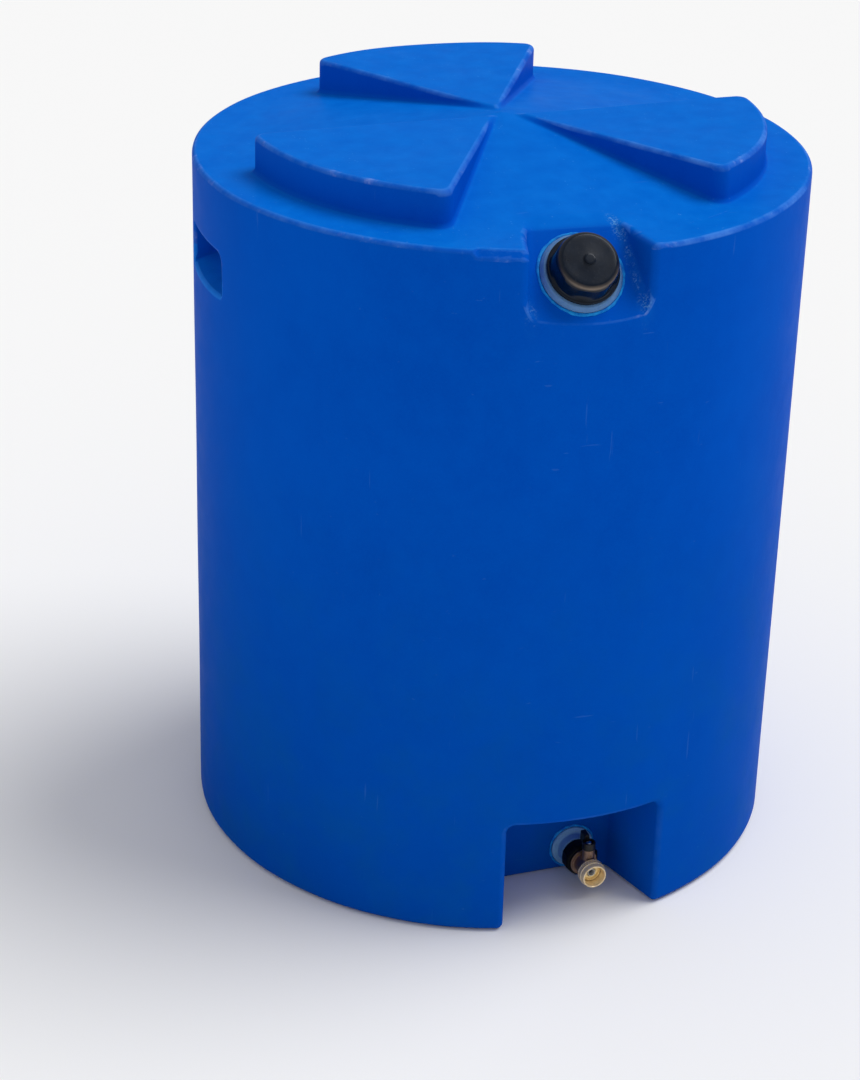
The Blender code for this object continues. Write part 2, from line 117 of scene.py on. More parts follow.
fw = Vector((sin(YAW) * cos(PITCH_DN), cos(YAW) * cos(PITCH_DN), -sin(PITCH_DN)))
rt = Vector((cos(YAW), -sin(YAW), 0.0))
up = rt.cross(fw)
cr = rt * cos(ROLL) + up * sin(ROLL)
cu = rt * -sin(ROLL) + up * cos(ROLL)
fw, cr, cu = turn(fw), turn(cr), turn(cu)
cam_data = bpy.data.cameras.new("camera")
cam_data.sensor_width = 36.0
cam_data.lens = 2620.0 / 1080.0 * 36.0
cam_data.clip_end = 60.0
cam = bpy.data.objects.new("camera", cam_data)
COLL.objects.link(cam)
m = Matrix((cr, cu, -fw)).transposed().to_4x4()
m.translation = turn(Vector((0.0, -CAM_D, CAM_H)))
cam.matrix_world = m
SC.camera = cam

# ------------------------------------------------------ signed-distance tools


def ir(a, b, r):
    """Intersection with a circular round of radius r."""
    u = np.maximum(a + r, 0.0)
    v = np.maximum(b + r, 0.0)
    return np.minimum(-r, np.maximum(a, b)) + np.sqrt(u * u + v * v)


def ur(a, b, r):
    """Union with a circular fillet of radius r."""
    u = np.maximum(r - a, 0.0)
    v = np.maximum(r - b, 0.0)
    return np.maximum(r, np.minimum(a, b)) - np.sqrt(u * u + v * v)


def smin(a, b, k):
    h = np.clip(0.5 + 0.5 * (b - a) / k, 0.0, 1.0)
    return b + (a - b) * h - k * h * (1.0 - h)


def sstep(a, b, x):
    t = np.clip((x - a) / (b - a), 0.0, 1.0)
    return t * t * (3.0 - 2.0 * t)


def gradient(f, P, e):
    g = np.zeros_like(P)
    for k in range(3):
        d = np.zeros(3)
        d[k] = e
        g[:, k] = (f(P + d) - f(P - d)) / (2 * e)
    n = np.linalg.norm(g, axis=1)
    return g, n


def project(f, P, h, steps=4, e=2e-4):
    P0 = P.copy()
    for _ in range(steps):
        g, n = gradient(f, P, e)
        n = np.maximum(n, 0.2)
        s = np.clip(f(P) / n, -h, h)
        P = P - g / n[:, None] * s[:, None]
    bad = (np.linalg.norm(P - P0, axis=1) > 1.6 * h) | (np.abs(f(P)) > 0.1 * h)
    P[bad] = P0[bad]
    return P


def surface_nets(f, lo, hi, h):
    """Quad mesh of f = 0 on a grid of pitch h."""
    lo = np.asarray(lo, float) - 1.37 * h
    n = np.ceil((np.asarray(hi, float) + 1.5 * h - lo) / h).astype(int) + 1
    nx, ny, nz = n
    F = np.empty((nx, ny, nz), np.float32)
    gx = lo[0] + h * np.arange(nx)
    gy = lo[1] + h * np.arange(ny)
    gz = lo[2] + h * np.arange(nz)
    XX, YY = np.meshgrid(gx, gy, indexing="ij")
    step = max(1, int(400000 / (nx * ny)))
    for k0 in range(0, nz, step):
        k1 = min(nz, k0 + step)
        c = k1 - k0
        P = np.empty((nx * ny * c, 3))
        P[:, 0] = np.repeat(XX.ravel(), c)
        P[:, 1] = np.repeat(YY.ravel(), c)
        P[:, 2] = np.tile(gz[k0:k1], nx * ny)
        F[:, :, k0:k1] = f(P).reshape(nx, ny, c)
    S = F < 0
    cnt = np.zeros((nx - 1, ny - 1, nz - 1), np.int8)
    for a in (0, 1):
        for b in (0, 1):
            for c in (0, 1):
                cnt += S[a:nx - 1 + a, b:ny - 1 + b, c:nz - 1 + c]
    I, J, K = np.nonzero((cnt > 0) & (cnt < 8))
    ids = np.full(cnt.shape, -1, np.int32)
    ids[I, J, K] = np.arange(len(I))
    acc = np.zeros((len(I), 3))
    num = np.zeros(len(I))
    corners = [(a, b, c) for a in (0, 1) for b in (0, 1) for c in (0, 1)]
    for p in corners:
        for ax in range(3):
            if p[ax]:
                continue
            q = list(p)
            q[ax] = 1
            f0 = F[I + p[0], J + p[1], K + p[2]].astype(float)
            f1 = F[I + q[0], J + q[1], K + q[2]].astype(float)
            m_ = (f0 < 0) != (f1 < 0)
            t = np.where(m_, f0 / np.where(m_, f0 - f1, 1.0), 0.0)
            pos = np.tile(np.array(p, float), (len(I), 1))
            pos[:, ax] += t
            acc += pos * m_[:, None]
            num += m_
    V = acc / num[:, None] + np.stack([I, J, K], 1)
    V = lo + h * V
    quads = []
    for ax in range(3):
        sl0 = [slice(None)] * 3
        sl1 = [slice(None)] * 3
        sl0[ax] = slice(0, -1)
        sl1[ax] = slice(1, None)
        A, B = S[tuple(sl0)], S[tuple(sl1)]
        idx = np.nonzero(A != B)
        ins = A[idx]
        o1, o2 = [(1, 2), (2, 0), (0, 1)][ax]
        c = np.stack(idx, 1)
        ok = (c[:, o1] > 0) & (c[:, o2] > 0) & (c[:, o1] < n[o1] - 1) & (c[:, o2] < n[o2] - 1)
        c, ins = c[ok], ins[ok]

        def cell(d1, d2):
            q = c.copy()
            q[:, o1] += d1
            q[:, o2] += d2
            return ids[q[:, 0], q[:, 1], q[:, 2]]

        q = np.stack([cell(-1, -1), cell(0, -1), cell(0, 0), cell(-1, 0)], 1)
        q[~ins] = q[~ins][:, ::-1]
        quads.append(q)
    Q = np.concatenate(quads)
    return V, Q[(Q >= 0).all(1)]


def build_mesh(name, V, Q):
    me = bpy.data.meshes.new(name)
    me.vertices.add(len(V))
    me.vertices.foreach_set("co", V.astype(np.float32).ravel())
    me.loops.add(Q.size)
    me.loops.foreach_set("vertex_index", Q.astype(np.int32).ravel())
    me.polygons.add(len(Q))
    me.polygons.foreach_set("loop_start", (np.arange(len(Q)) * Q.shape[1]).astype(np.int32))
    me.update(calc_edges=True)
    me.validate()
    return me


def sdf_object(name, f, lo, hi, h, refine=(), steps=6, e=2e-4, curv=None, fine_where=None,
               masks=()):
    """Mesh of f = 0: surface nets, projected on the surface, refined where it
    bends by more than the given angles, shaded with its own gradient."""
    V, Q = surface_nets(f, lo, hi, h)
    V = project(f, V, h, steps, e)
    me = build_mesh(name, V, Q)
    for level, ang in enumerate(refine):
        g, n = gradient(f, V, e)
        N = g / np.maximum(n, 1e-9)[:, None]
        ed = np.empty(len(me.edges) * 2, np.int32)
        me.edges.foreach_get("vertices", ed)
        ed = ed.reshape(-1, 2)
        dots = (N[ed[:, 0]] * N[ed[:, 1]]).sum(1)
        hot = dots < cos(radians(ang))
        if fine_where is not None:
            hot &= fine_where(0.5 * (V[ed[:, 0]] + V[ed[:, 1]]), level)
        # take in the whole of each face that bends
        vh = np.zeros(len(V), bool)
        vh[ed[hot].ravel()] = True
        sel = vh[ed[:, 0]] & vh[ed[:, 1]]
        bm = bmesh.new()
        bm.from_mesh(me)
        bm.edges.ensure_lookup_table()
        bmesh.ops.subdivide_edges(bm, edges=[bm.edges[i] for i in np.nonzero(sel)[0]],
                                  cuts=1, use_grid_fill=True)
        bm.to_mesh(me)
        bm.free()
        V = np.empty(len(me.vertices) * 3, np.float32)
        me.vertices.foreach_get("co", V)
        V = project(f, V.reshape(-1, 3).astype(float), h, steps, e)
        me.vertices.foreach_set("co", V.astype(np.float32).ravel())
        me.update()
    g, n = gradient(f, V, e)
    N = g / np.maximum(n, 1e-9)[:, None]
    if curv:
        lap = -6.0 * f(V)
        for k in range(3):
            d = np.zeros(3)
            d[k] = curv
            lap += f(V + d) + f(V - d)
        kappa = lap / curv ** 2
        at = me.attributes.new("curve", "FLOAT", "POINT")
        at.data.foreach_set("value", np.clip(kappa / 200.0, -2.0, 2.0).astype(np.float32))
    for label, fn in masks:
        at = me.attributes.new(label, "FLOAT", "POINT")
        at.data.foreach_set("value", fn(V).astype(np.float32))
    me.shade_smooth()
    me.normals_split_custom_set_from_vertices([tuple(v) for v in N])
    ob = bpy.data.objects.new(name, me)
    COLL.objects.link(ob)
    return ob


# ------------------------------------------------------------ turned pieces


def filleted(points, steps=4):
    """Closed profile of (r, z, fillet) in mm to points in m with arcs."""
    out = []
    n = len(points)
    for i in range(n):
        p0, p1, p2 = (Vector(points[i - 1][:2]), Vector(points[i][:2]),
                      Vector(points[(i + 1) % n][:2]))
        r = points[i][2] if len(points[i]) > 2 else 0.0
        if r <= 0:
            out.append(p1)
            continue
        a = (p0 - p1)
        b = (p2 - p1)
        la, lb = a.length, b.length
        a.normalize()
        b.normalize()
        half = a.angle(b) / 2
        d = min(r / tan(half), la * 0.49, lb * 0.49)
        r = d * tan(half)
        c = p1 + (a + b).normalized() * (r / sin(half))
        s, e = p1 + a * d - c, p1 + b * d - c
        a0, a1 = atan2(s.y, s.x), atan2(e.y, e.x)
        da = (a1 - a0 + pi) % (2 * pi) - pi
        for k in range(steps + 1):
            th = a0 + da * k / steps
            out.append(c + Vector((cos(th), sin(th))) * r)
    return [(p.x / 1000.0, p.y / 1000.0) for p in out]


def turned(name, points, segs, world, radius=None, steps=4, angle=38):
    prof = filleted(points, steps)
    bm = bmesh.new()
    rings = []
    for r, z in prof:
        if r < 1e-9:
            rings.append([bm.verts.new((0, 0, z))])
        else:
            rings.append([bm.verts.new(((radius(r, z, 2 * pi * i / segs) if radius else r)
                                        * cos(2 * pi * i / segs),
                                        (radius(r, z, 2 * pi * i / segs) if radius else r)
                                        * sin(2 * pi * i / segs), z))
                          for i in range(segs)])
    n = len(rings)
    for k in range(n):
        a, b = rings[k], rings[(k + 1) % n]
        if len(a) == 1 and len(b) == 1:
            continue
        for i in range(segs):
            j = (i + 1) % segs
            if len(a) == 1:
                bm.faces.new((a[0], b[j], b[i]))
            elif len(b) == 1:
                bm.faces.new((a[i], a[j], b[0]))
            else:
                bm.faces.new((a[i], a[j], b[j], b[i]))
    bmesh.ops.recalc_face_normals(bm, faces=bm.faces)
    bm.transform(world)
    me = bpy.data.meshes.new(name)
    bm.to_mesh(me)
    bm.free()
    me.shade_smooth()
    me.set_sharp_from_angle(angle=radians(angle))
    ob = bpy.data.objects.new(name, me)
    COLL.objects.link(ob)
    return ob


def union(ob, other, op="UNION", angle=38):
    mod = ob.modifiers.new(op, "BOOLEAN")
    mod.operation = op
    mod.solver = "EXACT"
    mod.object = other
    bpy.context.view_layer.update()
    dg = bpy.context.evaluated_depsgraph_get()
    me = bpy.data.meshes.new_from_object(ob.evaluated_get(dg))
    ob.modifiers.clear()
    ob.data = me
    bpy.data.objects.remove(other, do_unlink=True)
    me.shade_smooth()
    me.set_sharp_from_angle(angle=radians(angle))
    return ob


def screw_ridge(name, r_in, r_out, z0, turns, base, crest, segs, world, inward=False):
    bm = bmesh.new()
    rings = []
    n = int(round(segs * turns))
    for i in range(n + 1):
        a = 2 * pi * i / segs
        z = z0 + PITCH * i / segs
        f = min(1.0, min(i, n - i) / (segs / 12.0))
        b2, c2 = base / 2 * (0.35 + 0.65 * f), crest / 2 * (0.35 + 0.65 * f)
        if inward:
            rb, rc = r_out, r_out + (r_in - r_out) * (0.3 + 0.7 * f)
        else:
            rb, rc = r_in, r_in + (r_out - r_in) * (0.3 + 0.7 * f)
        rings.append([bm.verts.new((r * cos(a), r * sin(a), z + d))
                      for r, d in ((rb, -b2), (rc, -c2), (rc, c2), (rb, b2))])
    for p, q in zip(rings, rings[1:]):
        for i in range(4):
            j = (i + 1) % 4
            bm.faces.new((p[i], p[j], q[j], q[i]))
    bm.faces.new(rings[0])
    bm.faces.new(list(reversed(rings[-1])))
    bmesh.ops.recalc_face_normals(bm, faces=bm.faces)
    bm.transform(world)
    me = bpy.data.meshes.new(name)
    bm.to_mesh(me)
    bm.free()
    ob = bpy.data.objects.new(name, me)
    COLL.objects.link(ob)
    return ob


# ---------------------------------------------------------------- tank shell
PN, PE, PT = np.array(P_N), np.array(P_E), np.array(P_T)
FO, OO = np.array(FILL_O), np.array(OUT_O)
K_P = (POCKET_W0 - POCKET_W1) / (POCKET_EDGE_R - POCKET_BACK)
K_A = (ALC_W0 - ALC_W1) / (ALC_E0 - ALC_E1)


def f_tank(P):
    x, y, z = P[:, 0], P[:, 1], P[:, 2]
    r = np.hypot(x, y)
    az = np.degrees(np.arctan2(x, -y))
    # the moulding is a little wavy and its rim dips to the right of the pocket
    wave = 0.00035 * (1.0 + np.sin(5.0 * np.radians(az) + 9.0 * z + 0.7)
                      * np.cos(13.0 * z + 0.4)) \
        + 0.00015 * (1.0 + np.sin(17.0 * np.radians(az) - 21.0 * z))
    dip = 0.0016 * sstep(4.0, 12.0, az) * (1.0 - sstep(24.0, 50.0, az))
    rad = np.where(z > H / 2, RIM_R, FOOT_R)
    zz = z + dip * sstep(0.6, 0.8, z)
    qx = r + wave - (R - rad)
    qy = np.abs(zz - H / 2) - (H / 2 - rad)
    d = np.minimum(np.maximum(qx, qy), 0.0) \
        + np.hypot(np.maximum(qx, 0.0), np.maximum(qy, 0.0)) - rad
    # flattened rim beside the pocket
    band = sstep(-27.5, -24.5, az) * (1.0 - sstep(-12.0, -8.0, az))
    ch = ((r - R) + (z - H)) / sqrt(2.0) + 0.0062
    d = ir(d, ch - 0.012 * (1.0 - band), 0.0012)
    # shallow cone
    slope = CONE_TOP / CONE_R
    dc = (z - (H + CONE_TOP * (1.0 - r / CONE_R))) / sqrt(1.0 + slope * slope)
    low = H - 0.06 - z
    dc = np.maximum(np.maximum(dc, r - 0.30), low)
    d = smin(d, dc, 0.0035)
    # stacking pads
    c30, s30 = cos(radians(30.0)), 0.5
    for a0 in PAD_AZ:
        a = radians(a0)
        t = x * cos(a) + y * sin(a)
        e = x * sin(a) - y * cos(a)
        side = ir(t * c30 - e * s30 + PAD_INSET, -t * c30 - e * s30 + PAD_INSET, 0.006)
        plan = ir(side, r - PAD_R, 0.014)
        top = z - PAD_TOP + 0.0004 * (1.0 + np.sin(31.0 * t + 7.0 * e))
        pad = np.maximum(ir(plan, top, 0.0056), low)
        d = ur(d, pad, 0.0058)
    d = np.maximum(d, z - PAD_TOP)
    # filler pocket
    t = P @ PT
    e = P @ PE
    fl = -((P - np.array(P_EDGE)) @ PN)
    sd = (np.abs(t) - (POCKET_W1 + (e - POCKET_BACK) * K_P)) / sqrt(1 + K_P * K_P)
    cut = ir(fl, sd, 0.0095)
    rho = 0.0022 + 0.0080 * (1.0 - sstep(0.252, 0.280, e)) * (1.0 - sstep(0.004, 0.014, -fl)) \
        + 0.0062 * sstep(0.004, 0.014, -fl)
    d = ir(d, -cut, rho)
    # valve recess
    e = -y
    sd = (np.abs(x) - (ALC_W1 + (e - ALC_E1) * K_A)) / sqrt(1 + K_A * K_A)
    cut = ir(ALC_E1 - e, sd, 0.0150)
    cut = ir(cut, z - ALC_H, 0.0100)
    d = ir(d, -cut, 0.0070)
    # hand holds
    for a0 in GRIP_AZ:
        a = radians(a0)
        t = x * cos(a) + y * sin(a)
        e = x * sin(a) - y * cos(a)
        led = (GRIP_BOT + GRIP_RISE * (R - e) / (R - GRIP_BACK) - z) / 1.04
        cut = ir(np.abs(t) - GRIP_W, z - GRIP_TOP, 0.0120)
        cut = ir(cut, led, 0.0050)
        cut = ir(cut, GRIP_BACK - e, 0.0070)
        d = ir(d, -cut, 0.0040)
    # ports: sockets for the two spin-welded fittings
    q = P - FO
    hN = q @ PN
    rr = np.sqrt(np.maximum((q * q).sum(1) - hN * hN, 0.0))
    d = np.maximum(d, -np.maximum(rr - 0.0332, -(hN + 0.022)))
    q = P - OO
    rr = np.hypot(q[:, 0], q[:, 2])
    d = np.maximum(d, -np.maximum(rr - 0.0162, q[:, 1] - 0.022))
    return np.maximum(d, -z)


def f_scuff(P):
    """Where the plastic is chipped or dusty: pocket edges, rim by the pocket."""
    t = P @ PT
    e = P @ PE
    fl = (P - np.array(P_EDGE)) @ PN
    w = POCKET_W1 + (e - POCKET_BACK) * K_P
    on = np.exp(-(fl / 0.008) ** 2) * sstep(0.235, 0.250, e) * (1.0 - sstep(0.338, 0.345, e))
    a = np.exp(-((t - w + 0.004) / 0.0050) ** 2) * on * (0.45 + 0.45 * (1 - sstep(0.27, 0.31, e)))
    b = 0.8 * np.exp(-(((t + w - 0.004) / 0.006) ** 2 + ((e - 0.330) / 0.007) ** 2)) * np.exp(-(fl / 0.010) ** 2)
    c = 0.8 * np.exp(-(((t - w + 0.004) / 0.006) ** 2 + ((e - 0.330) / 0.008) ** 2)) * np.exp(-(fl / 0.012) ** 2)
    r = np.hypot(P[:, 0], P[:, 1])
    az = np.degrees(np.arctan2(P[:, 0], -P[:, 1]))
    ring = 0.16 * sstep(0.24, 0.31, r) * sstep(0.790, 0.797, P[:, 2]) * np.exp(-((az + 16.0) / 26.0) ** 2)
    return np.clip(np.maximum(np.maximum(a, b), np.maximum(c, ring)), 0.0, 1.0)


def f_pocket(P):
    """1 near the filler pocket, where only the tight edges get the paler edge colour (rubbed wear and painted
    highlight).
    """
    t = P @ PT
    e = P @ PE
    return (1.0 - sstep(0.075, 0.085, np.abs(t))) * sstep(0.235, 0.250, e) \
        * sstep(0.690, 0.705, P[:, 2]) * (1.0 - sstep(0.792, 0.797, P[:, 2]))


def f_grip(P):
    """1 round the hand holds, whose convex lips get a painted highlight."""
    m_ = np.zeros(len(P))
    for a0 in GRIP_AZ:
        a = radians(a0)
        t = P[:, 0] * cos(a) + P[:, 1] * sin(a)
        e = P[:, 0] * sin(a) - P[:, 1] * cos(a)
        m_ = np.maximum(m_, (np.abs(t) < GRIP_W + 0.012) * (e > 0.28)
                        * (P[:, 2] > GRIP_BOT - 0.012) * (P[:, 2] < GRIP_BOT + 0.020))
    return m_.astype(float)


def near_detail(P, level):
    """Second refinement only round the pocket, pads and recess edges."""
    if level == 0:
        return np.ones(len(P), bool)
    if level == 2:
        return ((P[:, 1] < -0.20) & (P[:, 2] < 0.014) & (np.abs(P[:, 0]) < 0.12)) \
            | ((P @ PE > 0.23) & (np.abs(P @ PT) < 0.085) & (P[:, 2] > 0.70))
    return (P[:, 2] > 0.66) & (P[:, 1] < 0.30) | ((P[:, 1] < -0.20) & (P[:, 2] < 0.16))


tank = sdf_object("tank_shell", f_tank, (-R, -R, 0.0), (R, R, PAD_TOP), 0.0055,
                  refine=(9.0, 9.0, 7.0), curv=0.0036, fine_where=near_detail,
                  masks=(("scuff", f_scuff), ("pocket", f_pocket), ("grip", f_grip)))
print("tank faces", len(tank.data.polygons))

# ---------------------------------------------------------------- filler
neck = turned("filler_neck", [
    (25.5, -12.0, .5), (33.0, -12.0, .5), (33.0, 0.3), (42.6, 0.3, .2), (43.0, 2.2, .8),
    (40.0, 7.6, .8), (31.2, 8.2, .6), (30.0, 9.5, .4), (30.0, 26.6, .8), (25.5, 27.0, .6)],
    128, FILL)
union(neck, screw_ridge("ridge", 0.0298, 0.0313, 0.0140, 1.5, 0.0022, 0.0012, 96, FILL))

flash_seed = [(0.7, 3, 0.3), (0.5, 7, 1.9), (0.35, 13, 0.8), (0.3, 23, 2.6), (0.25, 37, 4.0)]


def flash_radius(r, z, a):
    if r < 0.0434:
        return r
    w = sum(k * sin(n_ * a + p) for k, n_, p in flash_seed)
    return r + (0.0006 + 0.0005 * w) * min(1.0, (r - 0.0434) / 0.0015)


flash = turned("filler_weld_flash", [
    (43.3, 0.25), (45.6, 0.1, .1), (45.4, 0.9, .4), (44.4, 1.7, .5), (43.3, 1.5, .2)],
    180, FILL, flash_radius)


def lobed(r, z, a):
    """Six soft grip lobes on the cap's body, round at flange and top."""
    if z < 0.0128 or r < 0.0262:
        return r
    k = min(1.0, (z - 0.0128) / 0.002) * max(0.0, min(1.0, (0.0325 - z) / 0.009))
    if r < 0.0326 and z < 0.0300:
        return r
    c = cos(6.0 * (a - 0.28))
    w = (0.5 + 0.5 * c) ** 1.3
    return r * (1.0 - 0.046 * k * w)


cap = turned("filler_cap", [
    (0.0, 29.8), (30.1, 29.8, .3), (30.4, 26.8, .5), (32.1, 25.4, .5), (32.3, 9.4),
    (33.2, 8.6), (37.7, 8.6, .35), (38.0, 9.4, .4), (38.0, 10.0, .2), (37.2, 10.3, .25),
    (37.2, 10.7, .25), (37.9, 11.0, .2), (37.9, 11.9, .4), (37.1, 12.6, .5), (35.9, 12.9, .5),
    (35.1, 14.2, .9), (34.4, 19.0, 1.0), (32.9, 28.6, 4.0), (31.0, 33.2, 3.6), (27.6, 35.6, 3.0), (23.6, 35.6),
    (6.6, 35.5, .6), (5.75, 36.2, .5), (5.75, 38.2, .9), (4.2, 38.6, .8), (0.0, 38.6)],
    192, FILL, lobed, steps=5)
union(cap, screw_ridge("ridge", 0.0306, 0.0324, 0.0115, 1.5, 0.0022, 0.0012, 96, FILL,
                       inward=True))

# ---------------------------------------------------------------- outlet line
fitting = turned("outlet_fitting_piece", [
    (9.5, -13.5, .3), (16.0, -13.5, .5), (16.0, 0.3), (24.8, 0.3, .2), (25.0, 2.8, .9), (22.8, 4.2, .8),
    (19.6, 4.7, .8), (18.7, 6.0, .6), (18.6, 15.0, .5), (17.6, 16.0, .5), (12.6, 16.0, .3),
    (12.6, 0.5), (9.5, -1.5)], 112, OUTLET)


def flash2(r, z, a):
    if r < 0.0254:
        return r
    w = sum(k * sin(n_ * a + p + 1.0) for k, n_, p in flash_seed[:4])
    return r + (0.0005 + 0.0004 * w) * min(1.0, (r - 0.0254) / 0.0012)


flash_b = turned("outlet_weld_flash", [
    (25.3, 0.25), (27.4, 0.1, .1), (27.2, 0.8, .4), (26.2, 1.6, .5), (25.3, 1.4, .2)],
    140, OUTLET, flash2)


def adapter_grip(r, z, a):
    if r < 0.0172:
        return r
    q = (a / (2 * pi) * 8 + 0.5) % 1.0
    s = abs(2 * q - 1.0)
    flat = 1.0 - 0.045 * (1.0 - s ** 2.4)
    k = min(1.0, (r - 0.0172) / 0.0015)
    return r * (1.0 + (flat - 1.0) * k)


adapter = turned("adapter_piece", [
    (8.5, 2.4), (12.2, 2.4, .3), (12.2, 18.4), (18.8, 18.4, .6), (20.4, 19.6, .7), (20.4, 31.6, .9),
    (18.9, 35.0, .6), (17.6, 35.4, .4), (14.2, 35.4, .3), (13.4, 34.8, .3), (13.4, 24.4), (8.5, 24.4)],
    192, OUTLET, adapter_grip)

# valve body: SDF with a soft blend between barrel and boss
BC = STEM_W


def f_body(P):
    u = P[:, 0] - OUT_X
    v = P[:, 2] - OUT_Z
    w = -P[:, 1] - ALC_E1
    rr = np.hypot(u, v)

    def drum(rad, w0, w1, rnd):
        return ir(rr - rad, np.abs(w - 0.5 * (w0 + w1)) - 0.5 * (w1 - w0), rnd)

    d = drum(0.0130, 0.0272, 0.0380, 0.0004)
    d = ur(d, drum(0.0122, 0.0360, 0.0552, 0.0010), 0.0002)
    d = ur(d, drum(0.0114, 0.0500, 0.0562, 0.0006), 0.0008)
    ring = drum(0.0160, 0.0359, 0.0382, 0.0007)
    d = ur(d, ring, 0.0008)
    bs = ir(np.hypot(u, w - BC) - 0.0072, np.maximum(v - 0.0250, -v), 0.0006)
    d = ur(d, bs, 0.0022)
    d = np.maximum(d, w - 0.0562)
    # bores
    d = ir(d, -np.maximum(rr - 0.0088, 0.0440 - w), 0.0004)
    d = np.maximum(d, -np.maximum(rr - 0.0072, 0.0427 - w))
    d = np.maximum(d, 0.0044 - rr)
    d = ir(d, -np.maximum(rr - 0.0080, w - 0.0385), 0.0003)
    rs = np.hypot(u, w - BC)
    d = np.maximum(d, -np.maximum(rs - 0.0031, 0.004 - v))
    d = ir(d, -np.maximum(rs - 0.0047, 0.0200 - v), 0.0003)
    return d


body = sdf_object("valve_body_piece", f_body, (OUT_X - .0165, -ALC_E1 - .0565, OUT_Z - .0165),
                  (OUT_X + .0165, -ALC_E1 - .0270, OUT_Z + .0255), 0.0007,
                  refine=(20.0,), e=4e-5, steps=5, curv=0.0003)
print("body faces", len(body.data.polygons))


def f_handle(P):
    u = P[:, 0] - OUT_X
    b = P[:, 1] + ALC_E1 + STEM_W          # back over the pipe
    v = P[:, 2] - OUT_Z
    rs = np.hypot(u, b)
    d = ir(rs - 0.00775 + 0.03 * (v - 0.0253) * 0.5, np.abs(v - 0.0298) - 0.0045, 0.0007)
    # fin
    half = 0.0030 - 0.02 * (v - 0.030)
    fin = np.abs(u) - np.clip(half, 0.0024, 0.0031)
    topz = 0.0396 - 0.25 * np.maximum(0.0, 0.0072 - b) * 3.4
    prof = ir(v - topz, 0.0264 + 0.04 * (b - 0.006) - v, 0.0012)
    prof = ir(prof, b - 0.0188, 0.0022)
    prof = ir(prof, 0.0046 - b, 0.0006)
    fin = ir(fin, prof, 0.0009)
    d = ur(d, fin, 0.0012)
    # recess for the screw, and the square drive
    d = ir(d, -np.maximum(rs - 0.0056, 0.0312 - v), 0.0004)
    d = np.maximum(d, -np.maximum(np.maximum(np.abs(u), np.abs(b)) - 0.0022, 0.024 - v))
    return d


handle = sdf_object("valve_handle_piece", f_handle,
                    (OUT_X - .0082, -ALC_E1 - STEM_W - .0082, OUT_Z + .0250),
                    (OUT_X + .0082, -ALC_E1 - STEM_W + .0195, OUT_Z + .0400), 0.0005,
                    refine=(22.0,), e=3e-5, steps=5, curv=0.00025)
print("handle faces", len(handle.data.polygons))

screw = turned("handle_screw_piece", [
    (0, 24.0), (0.9, 24.0), (0.9, 31.5), (3.3, 31.5, .2), (3.4, 32.7, .3), (2.6, 33.5, .8), (0, 33.8)],
    48, STEM)

tailpiece = turned("tailpiece_piece", [
    (5.1, 54.6), (7.2, 54.6), (7.2, 53.3), (8.5, 53.3), (8.5, 56.5), (9.0, 56.6),
    (9.0, 58.3, .2), (11.0, 58.3, .3), (11.0, 60.1, .4), (9.9, 60.1, .15), (9.6, 59.8, .15), (9.2, 60.1, .15),
    (5.9, 60.1, .2), (5.5, 59.7, .2), (5.1, 59.7)], 96, OUTLET)
liner = turned("bore_liner_piece", [
    (3.5, 54.6), (4.7, 54.6), (4.7, 60.6, .4), (4.1, 61.1, .3), (3.5, 60.8, .3)], 64, OUTLET)


KN = 44


def knurl(r, z, a):
    """Straight knurl with a shallow cross groove on the swivel's grip."""
    if r < 0.0149 or z < 0.0580 or z > 0.0640:
        return r
    k = min(1.0, (z - 0.0580) / 0.0005) * min(1.0, (0.0640 - z) / 0.0005)
    s = abs(((a / (2 * pi) * KN) % 1.0) * 2 - 1)
    cross = abs((((z - 0.0580) / 0.0012) % 1.0) * 2 - 1)
    depth = 0.00062 * (1 - min(1.0, s * 1.5)) + 0.00012 * (1 - min(1.0, cross * 2.0))
    return r - depth * k


prof = [(9.4, 56.7), (14.3, 56.7, .5), (15.3, 57.3, .5), (15.5, 57.9)]
for q in range(1, 31):
    prof.append((15.5, 57.9 + 0.2 * q))
prof += [(15.5, 64.3, .3), (14.9, 65.0, .3), (14.7, 65.6, .4), (14.2, 69.2, .6), (13.9, 70.4, .3), (13.4, 70.7, .2),
         (12.7, 70.7, .25), (12.2, 70.0, .4), (11.9, 67.0, .3), (11.6, 61.5), (11.6, 57.9), (9.4, 57.9)]
nut = turned("swivel_nut_piece", prof, KN * 10, OUTLET, knurl, steps=3, angle=50)

# ------------------------------------------------------------------ materials


def new_mat(name):
    m_ = bpy.data.materials.new(name)
    m_.use_nodes = True
    nt = m_.node_tree
    return m_, nt, nt.nodes["Principled BSDF"]


